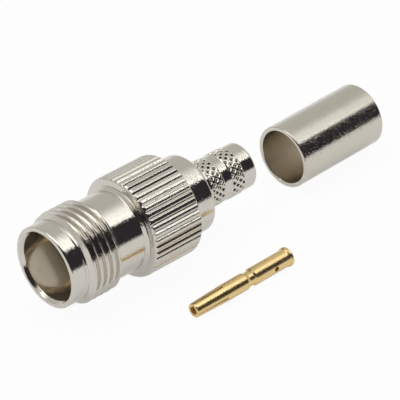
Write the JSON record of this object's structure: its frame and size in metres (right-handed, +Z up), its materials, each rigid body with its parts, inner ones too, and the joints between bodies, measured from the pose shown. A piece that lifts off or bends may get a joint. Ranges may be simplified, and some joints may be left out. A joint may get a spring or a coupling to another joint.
{
  "type": "tnc connector",
  "caption": "Crimp coaxial jack with an outer coupling thread, knurled collar and knurled cable stem, lying beside its loose crimp ferrule and gold-plated socket contact.",
  "frame": {"origin": "middle of the kit's footprint, on the table it lies on", "axes": "+X along the jack's axis from its mouth to its cable stem and on to the loose ferrule, +Z up from the table, the loose contact on the -Y side"},
  "size_m": [0.0492, 0.019, 0.0122],
  "materials": {
    "bright_nickel": "bright nickel plating on turned brass",
    "satin_nickel": "finely scratched nickel plating on brass tube",
    "gold": "polished gold plating on brass",
    "ptfe": "turned white PTFE"
  },
  "bodies": {
    "root": {"jack_shell": "bright_nickel", "rear_body": "bright_nickel", "insulator": "ptfe", "crimp_ferrule": "satin_nickel", "center_contact": "gold"}
  },
  "joints": []
}
